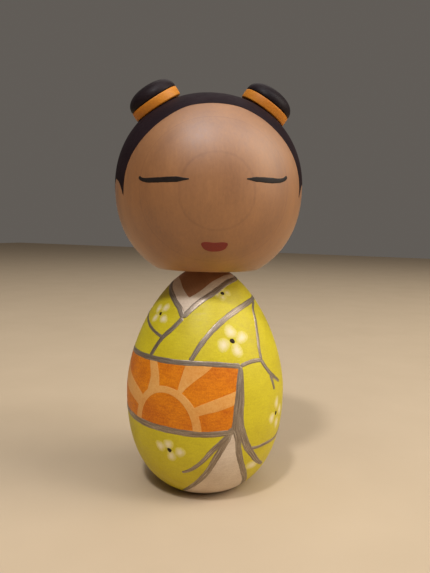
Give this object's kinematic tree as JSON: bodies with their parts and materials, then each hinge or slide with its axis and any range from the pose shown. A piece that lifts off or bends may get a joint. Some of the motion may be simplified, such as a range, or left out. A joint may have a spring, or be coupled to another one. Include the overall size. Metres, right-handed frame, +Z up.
{
  "type": "kokeshi doll",
  "caption": "Turned wooden doll with a ball head that turns on an egg-shaped body painted as a kimono, and banded hair buns set on the head.",
  "frame": {"origin": "centre of the flat base", "axes": "+Z up through the doll's axis; the front of the kimono faces -Y; +X is the doll's own left"},
  "size_m": [0.054, 0.054, 0.1178],
  "materials": {
    "natural_wood": "satin, clear sealed, fine pale grain",
    "peg_wood": "bare, turned",
    "kimono_yellow": "satin acrylic paint on turned wood",
    "hair_black": "satin black paint on turned wood",
    "band_orange": "satin orange paint on turned wood",
    "obi_orange": "satin acrylic paint film",
    "sun_peach": "satin acrylic paint film",
    "cloth_white": "satin acrylic paint film",
    "line_silver": "metallic silver paint, thin and brushed",
    "dot_black": "satin acrylic paint film",
    "mouth_red": "satin acrylic paint film"
  },
  "bodies": {
    "body": {"body": "kimono_yellow"},
    "head": {"head": "natural_wood", "neck_peg": "peg_wood", "bun_left": "hair_black", "bun_right": "hair_black", "bun_band_left": "band_orange", "bun_band_right": "band_orange", "bun_peg_left": "peg_wood", "bun_peg_right": "peg_wood"}
  },
  "joints": [
    {"name": "head_turn", "type": "hinge", "parent": "body", "child": "head", "pos_m": [0, 0, 0.0647], "axis": [0, 0, 1], "continuous": true}
  ]
}
